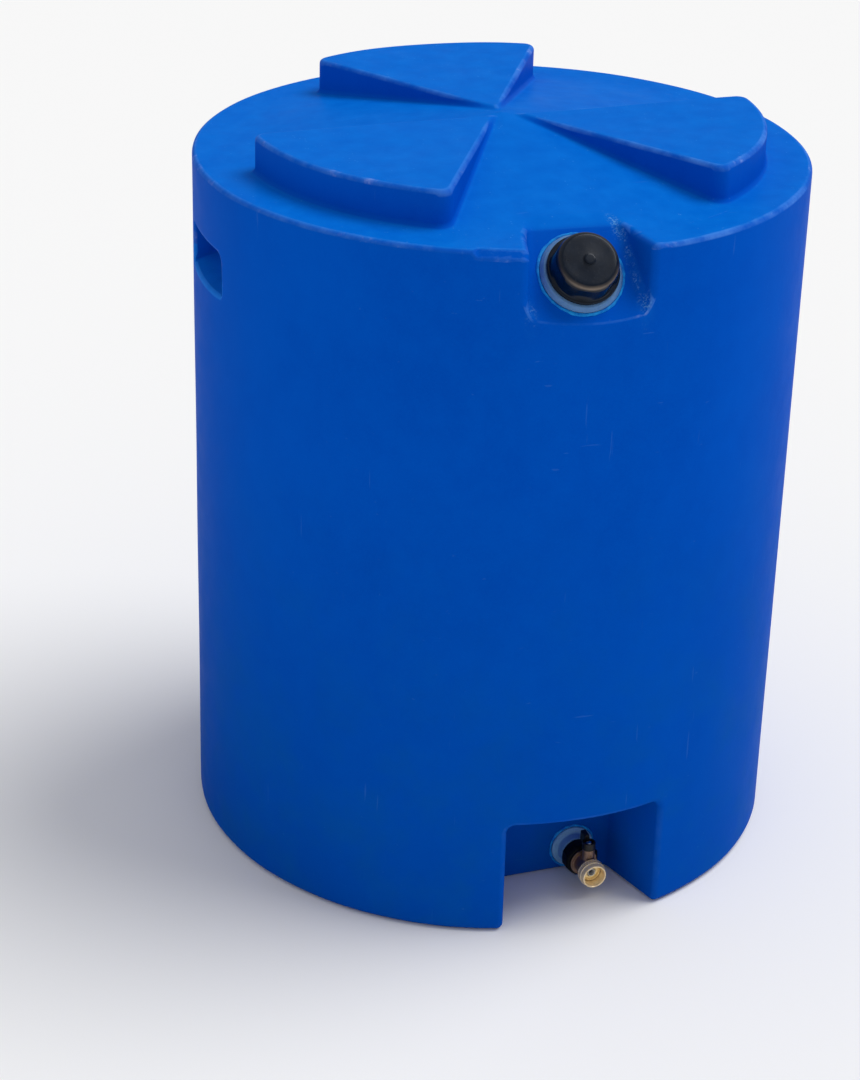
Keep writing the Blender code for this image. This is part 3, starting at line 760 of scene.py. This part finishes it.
class G:
    """Small helper round a node tree."""

    def __init__(self, nt):
        self.nt = nt
        self.co = nt.nodes.new("ShaderNodeTexCoord").outputs["Object"]

    def node(self, kind, **kw):
        n_ = self.nt.nodes.new(kind)
        for k, v in kw.items():
            setattr(n_, k, v)
        return n_

    def link(self, a, b):
        self.nt.links.new(a, b)

    def mapping(self, scale=(1, 1, 1), loc=(0, 0, 0), rot=(0, 0, 0)):
        n_ = self.node("ShaderNodeMapping")
        n_.inputs["Scale"].default_value = scale
        n_.inputs["Location"].default_value = loc
        n_.inputs["Rotation"].default_value = rot
        self.link(self.co, n_.inputs["Vector"])
        return n_.outputs["Vector"]

    def noise(self, scale, detail=3.0, rough=0.5, vec=None, dist=0.0):
        n_ = self.node("ShaderNodeTexNoise")
        n_.inputs["Scale"].default_value = scale
        n_.inputs["Detail"].default_value = detail
        n_.inputs["Roughness"].default_value = rough
        n_.inputs["Distortion"].default_value = dist
        self.link(vec or self.co, n_.inputs["Vector"])
        return n_.outputs["Fac"]

    def voronoi(self, scale, feature="F1", vec=None, out="Distance"):
        n_ = self.node("ShaderNodeTexVoronoi", feature=feature)
        n_.inputs["Scale"].default_value = scale
        self.link(vec or self.co, n_.inputs["Vector"])
        return n_.outputs[out]

    def ramp(self, fac, stops, interp="LINEAR"):
        n_ = self.node("ShaderNodeValToRGB")
        n_.color_ramp.interpolation = interp
        el = n_.color_ramp.elements
        while len(el) < len(stops):
            el.new(0.5)
        for e_, (p, c) in zip(el, stops):
            e_.position = p
            e_.color = (c, c, c, 1) if isinstance(c, (int, float)) else (*c, 1)
        self.link(fac, n_.inputs["Fac"])
        return n_.outputs["Color"]

    def math(self, op, a, b=None, clamp=False):
        n_ = self.node("ShaderNodeMath", operation=op, use_clamp=clamp)
        for i, v in enumerate((a, b)):
            if v is None:
                continue
            if isinstance(v, (int, float)):
                n_.inputs[i].default_value = v
            else:
                self.link(v, n_.inputs[i])
        return n_.outputs[0]

    def mix(self, fac, a, b, blend="MIX"):
        n_ = self.node("ShaderNodeMix", data_type="RGBA", blend_type=blend)
        for sock, v in ((n_.inputs[0], fac), (n_.inputs[6], a), (n_.inputs[7], b)):
            if isinstance(v, (int, float)):
                sock.default_value = v
            elif isinstance(v, tuple):
                sock.default_value = (*v, 1)
            else:
                self.link(v, sock)
        return n_.outputs[2]

    def map_range(self, v, a, b, c, d):
        n_ = self.node("ShaderNodeMapRange")
        self.link(v, n_.inputs[0])
        for i, q in zip((1, 2, 3, 4), (a, b, c, d)):
            n_.inputs[i].default_value = q
        return n_.outputs[0]

    def bump(self, height, strength, dist, normal=None):
        n_ = self.node("ShaderNodeBump")
        n_.inputs["Strength"].default_value = strength
        n_.inputs["Distance"].default_value = dist
        self.link(height, n_.inputs["Height"])
        if normal is not None:
            self.link(normal, n_.inputs["Normal"])
        return n_.outputs["Normal"]

    def attr(self, name):
        n_ = self.node("ShaderNodeAttribute", attribute_name=name)
        return n_.outputs["Fac"]

    def sep(self, v):
        n_ = self.node("ShaderNodeSeparateXYZ")
        self.link(v, n_.inputs[0])
        return n_.outputs


# ---- blue polyethylene
BLUE, nt, bs = new_mat("blue_polyethylene")
g = G(nt)
geo = g.node("ShaderNodeNewGeometry")
nz = g.sep(geo.outputs["Normal"])[2]
pos = g.sep(g.co)
up_f = g.map_range(nz, 0.74, 0.97, 0.0, 1.0)
big = g.noise(5.0, 4.0, 0.55)
mid = g.noise(38.0, 5.0, 0.6)
fine = g.noise(420.0, 3.0, 0.6)
streak = g.noise(9.0, 3.0, 0.5, g.mapping(scale=(1.0, 1.0, 0.12)))
base = g.mix(g.map_range(big, 0.3, 0.7, 0.0, 1.0), (0.0, 0.074, 0.500), (0.0, 0.088, 0.550))
base = g.mix(g.map_range(mid, 0.35, 0.7, 0.0, 0.40), base, (0.0, 0.098, 0.580))
base = g.mix(g.map_range(streak, 0.45, 0.75, 0.0, 0.20), base, (0.0, 0.056, 0.400))
base = g.mix(g.map_range(fine, 0.40, 0.75, 0.0, 0.22), base, (0.0, 0.110, 0.600))
# paler blue on upward faces: painted light from above
top_painted_light = g.mix(g.map_range(mid, 0.30, 0.70, 0.0, 1.0), (0.0005, 0.128, 0.600), (0.002, 0.158, 0.660))
base = g.mix(g.math("MULTIPLY", up_f, 0.9), base, top_painted_light)
# darker and duller towards the foot, with noisy darker patches nearest the floor
low = g.map_range(pos[2], 0.02, 0.55, 1.0, 0.0)
base = g.mix(g.math("MULTIPLY", low, 0.50), base, (0.0, 0.058, 0.330))
foot_mottle = g.math("MULTIPLY", low, g.map_range(g.noise(14.0, 6.0, 0.65), 0.46, 0.72, 0.0, 0.35))
base = g.mix(foot_mottle, base, (0.004, 0.100, 0.310))
# pale dust specks on the upward faces
spk = g.voronoi(190.0, "F1")
spk = g.map_range(spk, 0.05, 0.20, 1.0, 0.0)
gate = g.map_range(g.noise(46.0, 4.0, 0.65), 0.54, 0.64, 0.0, 1.0)
spk = g.math("MULTIPLY", g.math("MULTIPLY", spk, gate), g.math("MULTIPLY", up_f, 0.60))
base = g.mix(spk, base, (0.08, 0.34, 0.80))
# paler edges: rubbed wear plus a painted highlight on convex edges, stronger towards the lit right side and near the
# top, with pale lilac spots
cv = g.math("SUBTRACT", g.attr("curve"), g.math("MULTIPLY", g.attr("pocket"), 0.42))
edge_wear_and_highlight = g.map_range(cv, 0.45, 0.80, 0.0, 1.0)
# painted highlight on the lips of the hand holds
lip_highlight = g.math("MULTIPLY", edge_wear_and_highlight, g.attr("grip"))
brk = g.map_range(g.noise(23.0, 6.0, 0.7), 0.40, 0.66, 0.12, 1.0)
# painted highlight: the paler edges grow stronger towards the sunlit right side
side = g.map_range(pos[0], -0.05, 0.24, 0.55, 1.0)
edge_wear_and_highlight = g.math("MULTIPLY", g.math("MULTIPLY", edge_wear_and_highlight, brk), side)
edge_wear_and_highlight = g.math("MULTIPLY", edge_wear_and_highlight, g.map_range(pos[2], 0.55, 0.70, 0.25, 1.0))
base = g.mix(g.math("MULTIPLY", edge_wear_and_highlight, 0.75), base, (0.085, 0.270, 0.780))
base = g.mix(g.math("MULTIPLY", lip_highlight, 0.60), base, (0.010, 0.220, 0.800))
spot = g.math("MULTIPLY", edge_wear_and_highlight, g.map_range(g.noise(15.0, 5.0, 0.75), 0.56, 0.66, 0.0, 0.75))
base = g.mix(spot, base, (0.46, 0.50, 0.86))
# chips and dust in the pocket
sf = g.attr("scuff")
flk = g.map_range(g.noise(420.0, 6.0, 0.78), 0.51, 0.60, 0.0, 1.0)
flk = g.math("MULTIPLY", flk, g.map_range(g.noise(75.0, 3.0, 0.6), 0.42, 0.58, 0.0, 1.0))
flk = g.math("MULTIPLY", flk, g.map_range(sf, 0.12, 0.75, 0.0, 0.46))
base = g.mix(flk, base, (0.26, 0.60, 0.88))
haze = g.math("MULTIPLY", sf, g.map_range(g.noise(90.0, 4.0, 0.6), 0.35, 0.7, 0.0, 0.22))
base = g.mix(haze, base, (0.03, 0.30, 0.72))
# fine scratches
sc1 = g.noise(1.0, 2.0, 0.5, g.mapping(scale=(210.0, 230.0, 14.0), rot=(0.45, 0.3, 0.6)))
sc1 = g.map_range(sc1, 0.735, 0.77, 0.0, 1.0)
sc2 = g.noise(1.0, 2.0, 0.5, g.mapping(scale=(16.0, 260.0, 240.0), rot=(0.3, 0.7, 0.9)))
sc2 = g.map_range(sc2, 0.73, 0.77, 0.0, 1.0)
scr = g.math("ADD", sc1, sc2, clamp=True)
scr = g.math("MULTIPLY", scr, 0.10)
base = g.mix(scr, base, (0.10, 0.28, 0.70))
g.link(base, bs.inputs["Base Color"])
rg = g.map_range(g.noise(30.0, 5.0, 0.6), 0.3, 0.7, 0.38, 0.50)
rg = g.math("ADD", rg, g.math("MULTIPLY", edge_wear_and_highlight, 0.10))
rg = g.math("ADD", rg, g.math("MULTIPLY", scr, 0.6))
g.link(rg, bs.inputs["Roughness"])
bs.inputs["IOR"].default_value = 1.5
bs.inputs["Specular IOR Level"].default_value = 0.004
n1 = g.bump(g.noise(9.0, 2.0, 0.5), 0.16, 0.004)
n2 = g.bump(g.noise(150.0, 3.0, 0.55), 0.20, 0.0006, n1)
n3 = g.bump(g.math("ADD", fine, flk), 0.14, 0.0002, n2)
g.link(n3, bs.inputs["Normal"])

# ---- light-blue weld flash
FLASH, nt, bs = new_mat("weld_flash")
g = G(nt)
c = g.mix(g.map_range(g.noise(160.0, 4.0, 0.6), 0.35, 0.65, 0.0, 1.0), (0.0, 0.135, 0.56), (0.012, 0.300, 0.74))
g.link(c, bs.inputs["Base Color"])
bs.inputs["Roughness"].default_value = 0.38
bs.inputs["Specular IOR Level"].default_value = 0.08
bs.inputs["Subsurface Weight"].default_value = 0.15
bs.inputs["Subsurface Radius"].default_value = (0.002, 0.004, 0.006)
g.link(g.bump(g.noise(300.0, 4.0, 0.6), 0.6, 0.0006), bs.inputs["Normal"])

# ---- natural polyethylene
NAT, nt, bs = new_mat("natural_polyethylene")
g = G(nt)
c = g.mix(g.map_range(g.noise(60.0, 4.0, 0.6), 0.3, 0.7, 0.0, 1.0), (0.085, 0.205, 0.430), (0.125, 0.262, 0.500))
c = g.mix(g.map_range(g.noise(500.0, 3.0, 0.6), 0.55, 0.75, 0.0, 0.3), c, (0.045, 0.11, 0.25))
g.link(c, bs.inputs["Base Color"])
g.link(g.map_range(g.noise(90.0, 4.0, 0.6), 0.3, 0.7, 0.38, 0.52), bs.inputs["Roughness"])
bs.inputs["Specular IOR Level"].default_value = 0.10
bs.inputs["Subsurface Weight"].default_value = 0.25
bs.inputs["Subsurface Radius"].default_value = (0.003, 0.005, 0.008)
g.link(g.bump(g.noise(220.0, 3.0, 0.6), 0.15, 0.0003), bs.inputs["Normal"])


# brighter copy of the natural polyethylene for the outlet fitting: painted light that lifts it out of the recess's
# shade
NAT_LIFTED, nt, bs = new_mat("natural_polyethylene_lifted")
g = G(nt)
c = g.mix(g.map_range(g.noise(60.0, 4.0, 0.6), 0.3, 0.7, 0.0, 1.0), (0.13, 0.31, 0.56), (0.20, 0.40, 0.64))
c = g.mix(g.map_range(g.noise(500.0, 3.0, 0.6), 0.55, 0.75, 0.0, 0.3), c, (0.06, 0.16, 0.34))
g.link(c, bs.inputs["Base Color"])
g.link(g.map_range(g.noise(90.0, 4.0, 0.6), 0.3, 0.7, 0.34, 0.50), bs.inputs["Roughness"])
bs.inputs["Specular IOR Level"].default_value = 0.2
g.link(g.bump(g.noise(220.0, 3.0, 0.6), 0.15, 0.0003), bs.inputs["Normal"])


def plastic(name, dark, light, r0, r1, bump=0.15, scale=250.0, scratch=0.0, spec=0.3):
    m_, nt_, b_ = new_mat(name)
    g_ = G(nt_)
    c_ = g_.mix(g_.map_range(g_.noise(70.0, 4.0, 0.6), 0.3, 0.7, 0.0, 1.0), dark, light)
    rg_ = g_.map_range(g_.noise(55.0, 5.0, 0.65), 0.3, 0.7, r0, r1)
    if scratch:
        s_ = g_.noise(1.0, 2.0, 0.5, g_.mapping(scale=(900.0, 60.0, 900.0), rot=(0.2, 0.3, 0.9)))
        s_ = g_.map_range(s_, 0.66, 0.70, 0.0, scratch)
        c_ = g_.mix(s_, c_, (0.10, 0.11, 0.12))
        rg_ = g_.math("ADD", rg_, s_)
    g_.link(c_, b_.inputs["Base Color"])
    g_.link(rg_, b_.inputs["Roughness"])
    b_.inputs["Specular IOR Level"].default_value = spec
    g_.link(g_.bump(g_.noise(scale, 3.0, 0.6), bump, 0.0003), b_.inputs["Normal"])
    return m_


CAPM, nt, bs = new_mat("gloss_black")
g = G(nt)
geo = g.node("ShaderNodeNewGeometry")


def dot(g_, a, v):
    n_ = g_.node("ShaderNodeVectorMath", operation="DOT_PRODUCT")
    g_.link(a, n_.inputs[0])
    n_.inputs[1].default_value = v
    return n_.outputs["Value"]


hh = g.math("SUBTRACT", dot(g, g.co, tuple(P_N)), float(FILL_O.dot(P_N)))
c = g.mix(g.map_range(g.noise(70.0, 4.0, 0.6), 0.3, 0.7, 0.0, 1.0), (0.0006, 0.0040, 0.0120), (0.0012, 0.0065, 0.0180))
# the crowned shoulder gets a painted warm highlight, most on its lower side
shoulder_highlight = g.math("MULTIPLY", g.map_range(hh, 0.0300, 0.0326, 0.0, 1.0), g.map_range(hh, 0.0332, 0.0352, 1.0, 0.0))
shoulder_highlight = g.math("MULTIPLY", shoulder_highlight, g.map_range(dot(g, geo.outputs["Normal"], tuple(P_S * -1.0)), 0.10, 0.75, 0.10, 1.0))
shoulder_highlight = g.math("MULTIPLY", shoulder_highlight, g.map_range(g.noise(60.0, 4.0, 0.6), 0.30, 0.65, 0.45, 1.0))
c = g.mix(g.math("MULTIPLY", shoulder_highlight, 0.85), c, (0.230, 0.180, 0.140))
tops = g.map_range(hh, 0.0345, 0.0353, 0.0, 1.0)
s1 = g.noise(1.0, 2.0, 0.5, g.mapping(scale=(900.0, 90.0, 500.0), rot=(0.2, 0.3, 0.9)))
s1 = g.math("MULTIPLY", g.map_range(s1, 0.66, 0.70, 0.0, 0.30), tops)
c = g.mix(s1, c, (0.035, 0.042, 0.055))
rub = g.math("MULTIPLY", g.map_range(g.noise(120.0, 5.0, 0.7), 0.52, 0.66, 0.0, 0.22), tops)
c = g.mix(rub, c, (0.014, 0.022, 0.040))
g.link(c, bs.inputs["Base Color"])
rr_ = g.map_range(g.noise(55.0, 5.0, 0.65), 0.3, 0.7, 0.15, 0.24)
rr_ = g.math("ADD", rr_, g.math("MULTIPLY", shoulder_highlight, 0.15))
g.link(rr_, bs.inputs["Roughness"])
bs.inputs["Specular IOR Level"].default_value = 0.20
g.link(g.bump(g.noise(320.0, 3.0, 0.6), 0.08, 0.0003), bs.inputs["Normal"])
ADPM = plastic("adapter_black", (0.0015, 0.0020, 0.0040), (0.0035, 0.0040, 0.0060), 0.42, 0.60, 0.35, 420.0, 0.0, 0.12)
HNDM = plastic("handle_black", (0.004, 0.004, 0.005), (0.008, 0.008, 0.009), 0.34, 0.48, 0.30, 700.0)
RUB = plastic("rubber_black", (0.012, 0.012, 0.012), (0.020, 0.020, 0.020), 0.65, 0.85, 0.3, 500.0)
PTFE = plastic("ptfe_white", (0.74, 0.74, 0.72), (0.82, 0.82, 0.80), 0.35, 0.5, 0.1, 300.0)
GREYP = plastic("grey_liner", (0.36, 0.38, 0.41), (0.48, 0.50, 0.54), 0.30, 0.45, 0.1, 600.0)


def metal(name, c0, c1, r0, r1, grain=900.0, bump=0.2, dirt=None, amount=0.5, metallic=1.0):
    m_, nt_, b_ = new_mat(name)
    g_ = G(nt_)
    c_ = g_.mix(g_.map_range(g_.noise(180.0, 5.0, 0.6), 0.3, 0.7, 0.0, 1.0), c0, c1)
    if dirt:
        d_ = g_.map_range(g_.noise(420.0, 5.0, 0.7), 0.5, 0.75, 0.0, amount)
        c_ = g_.mix(d_, c_, dirt)
    g_.link(c_, b_.inputs["Base Color"])
    b_.inputs["Metallic"].default_value = metallic
    g_.link(g_.map_range(g_.noise(260.0, 5.0, 0.65), 0.3, 0.7, r0, r1), b_.inputs["Roughness"])
    g_.link(g_.bump(g_.noise(grain, 4.0, 0.6), bump, 0.0002), b_.inputs["Normal"])
    return m_


BRZ = metal("cast_bronze", (0.24, 0.155, 0.115), (0.34, 0.225, 0.165), 0.42, 0.56, 1500.0, 0.5,
            (0.10, 0.07, 0.05), 0.5)
PAL = metal("pale_brass", (0.86, 0.66, 0.38), (0.98, 0.82, 0.54), 0.30, 0.42, 2500.0, 0.12,
            (0.50, 0.34, 0.16), 0.30, 0.42)
BRS = metal("machined_brass", (0.80, 0.60, 0.28), (0.90, 0.70, 0.36), 0.22, 0.34, 2500.0, 0.12)
CHR = metal("plated_ball", (0.72, 0.72, 0.72), (0.80, 0.80, 0.80), 0.08, 0.16, 800.0, 0.04)
ZNC = metal("zinc_plate", (0.52, 0.53, 0.54), (0.66, 0.67, 0.68), 0.28, 0.42, 1500.0, 0.15)


def dress(ob, mat_):
    ob.data.materials.clear()
    ob.data.materials.append(mat_)


PIECES = [
    (tank, BLUE, "tank", "tank_body", "shell"),
    (neck, NAT, "tank", "fill_neck", "natural_pe"),
    (flash, FLASH, "tank", None, "shell"),
    (cap, CAPM, "cap", "fill_cap", "cap_black"),
    (fitting, NAT_LIFTED, "tank", "outlet_fitting", "natural_pe"),
    (flash_b, FLASH, "tank", None, "shell"),
    (adapter, ADPM, "tank", "outlet_adapter", "adapter_black"),
    (body, BRZ, "tank", "valve_body", "bronze"),
    (handle, HNDM, "spindle", "valve_handle", "handle_black"),
    (screw, ZNC, "spindle", "handle_screw", "zinc"),
    (tailpiece, BRS, "tank", "valve_tailpiece", "brass"),
    (liner, GREYP, "tank", "bore_liner", "grey_plastic"),
    (nut, PAL, "coupling", "swivel_nut", "pale_brass"),
]
for ob, mat_, bod, node, slot_ in PIECES:
    dress(ob, mat_)
    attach(ob, bod)
    if node:
        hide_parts(node)

KEEP = {"fill_cap_gasket": RUB, "outlet_gasket": RUB, "adapter_washer": RUB, "stem_o_ring": RUB,
        "valve_seat_inner": PTFE, "valve_seat_outer": PTFE, "valve_ball": CHR, "valve_stem": BRS}
for name, mat_ in KEEP.items():
    o = NODES[name]
    if len(o.material_slots):
        for s in o.material_slots:
            s.material = mat_
    else:
        o.data.materials.append(mat_)

# ------------------------------------------------------------- floor, lights
bm = bmesh.new()
bmesh.ops.create_grid(bm, x_segments=8, y_segments=8, size=14.0)
me = bpy.data.meshes.new("floor")
bm.to_mesh(me)
bm.free()
floor = bpy.data.objects.new("floor", me)
COLL.objects.link(floor)
floor.location = (0, 0, -0.0004)
FLOOR, nt, bs = new_mat("pale_floor")
bs.inputs["Base Color"].default_value = (0.90, 0.90, 0.90, 1)
bs.inputs["Roughness"].default_value = 0.9
bs.inputs["Specular IOR Level"].default_value = 0.1
dress(floor, FLOOR)
floor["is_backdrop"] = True

world = bpy.data.worlds.new("studio")
SC.world = world
world.use_nodes = True
wb = world.node_tree.nodes["Background"]
wb.inputs["Color"].default_value = (1.0, 1.0, 1.0, 1)
wb.inputs["Strength"].default_value = 0.55
RIGHT = Vector((cr.x, cr.y, 0.0)).normalized()
AHEAD = Vector((fw.x, fw.y, 0.0)).normalized()


def sun(name, side, ahead, elev, strength, angle):
    """A soft far light, placed by its direction as seen from the camera."""
    ld = bpy.data.lights.new(name, "SUN")
    ld.energy = strength
    ld.angle = radians(angle)
    lo_ = bpy.data.objects.new(name, ld)
    COLL.objects.link(lo_)
    d_ = (RIGHT * side + AHEAD * ahead).normalized() * cos(radians(elev)) \
        + Vector((0, 0, sin(radians(elev))))
    lo_.rotation_euler = d_.to_track_quat("Z", "Y").to_euler()
    lo_.location = d_ * 4.0
    return lo_


sun("key", 1.0, 0.22, 60.0, 1.80, 38.0)
SC.view_settings.view_transform = "Standard"
SC.view_settings.look = "None"
SC.view_settings.exposure = 0.0
SC.view_settings.gamma = 1.0

VIS_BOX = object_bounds()


def plain(v):
    if isinstance(v, dict):
        return {k: plain(q) for k, q in v.items()}
    if isinstance(v, (int, float)):
        return float(v)
    return [plain(q) for q in v]


{"cad": plain(CAD_BOX), "visual": plain(VIS_BOX)}
